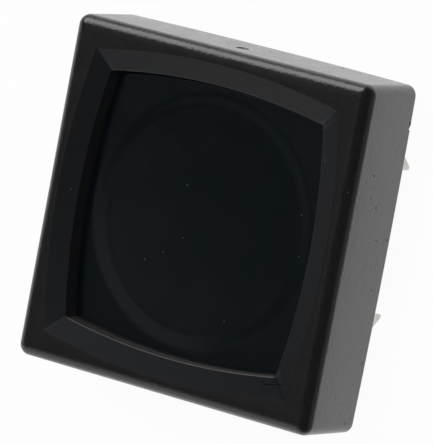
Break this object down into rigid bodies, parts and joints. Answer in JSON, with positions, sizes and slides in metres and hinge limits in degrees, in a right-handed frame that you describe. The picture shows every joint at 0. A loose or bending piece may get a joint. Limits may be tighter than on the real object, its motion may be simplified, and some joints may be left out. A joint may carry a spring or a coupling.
{
  "type": "pushbutton switch",
  "caption": "Low-profile square pushbutton switch for a circuit board, with a dished flush button in a barrel-shaped well and flat solder pins below.",
  "frame": {"origin": "middle of the seating plane on the circuit board, under the middle of the square frame", "axes": "+Z out of the button's face, +X along the contact bridges from the left pins to the right pins, +Y towards the side with the mould gate"},
  "size_m": [0.024, 0.024, 0.0096],
  "materials": {
    "frame_plastic": "fine spark-eroded satin black, glossier on the sloping border",
    "cap_plastic": "smooth blue-black with a light polish",
    "plunger_plastic": "natural moulded acetal",
    "base_plastic": "glass-filled matte black",
    "tinned_brass": "dull tin plating over brass",
    "contact_silver": "satin silver alloy",
    "spring_bronze": "rolled phosphor bronze",
    "spring_steel": "drawn stainless spring wire and strip"
  },
  "bodies": {
    "housing": {"bezel_frame": "frame_plastic", "base_plate": "base_plastic", "return_spring": "spring_steel", "terminal_upper_left": "tinned_brass", "terminal_upper_right": "tinned_brass", "terminal_lower_left": "tinned_brass", "terminal_lower_right": "tinned_brass", "fixed_contact_upper_left": "contact_silver", "fixed_contact_upper_right": "contact_silver", "fixed_contact_lower_left": "contact_silver", "fixed_contact_lower_right": "contact_silver"},
    "button": {"button_cap": "cap_plastic", "button_plunger": "plunger_plastic", "contact_spring_upper": "spring_steel", "contact_spring_lower": "spring_steel"},
    "bridge_upper": {"contact_bridge_upper": "spring_bronze", "moving_contact_upper_left": "contact_silver", "moving_contact_upper_right": "contact_silver"},
    "bridge_lower": {"contact_bridge_lower": "spring_bronze", "moving_contact_lower_left": "contact_silver", "moving_contact_lower_right": "contact_silver"}
  },
  "joints": [
    {"name": "button_press", "type": "slide", "parent": "housing", "child": "button", "axis": [0, 0, -1], "range_m": [0, 0.0009], "stiffness_N_per_m": 2200, "deforming": ["return_spring"]},
    {"name": "bridge_upper_lift", "type": "slide", "parent": "button", "child": "bridge_upper", "axis": [0, 0, 1], "range_m": [0, 0.00045], "deforming": ["contact_spring_upper"]},
    {"name": "bridge_lower_lift", "type": "slide", "parent": "button", "child": "bridge_lower", "axis": [0, 0, 1], "range_m": [0, 0.00045], "deforming": ["contact_spring_lower"]}
  ],
  "couplings": [
    {"joint": "bridge_upper_lift", "follows": "button_press", "ratio": 0.5},
    {"joint": "bridge_lower_lift", "follows": "button_press", "ratio": 0.5}
  ]
}
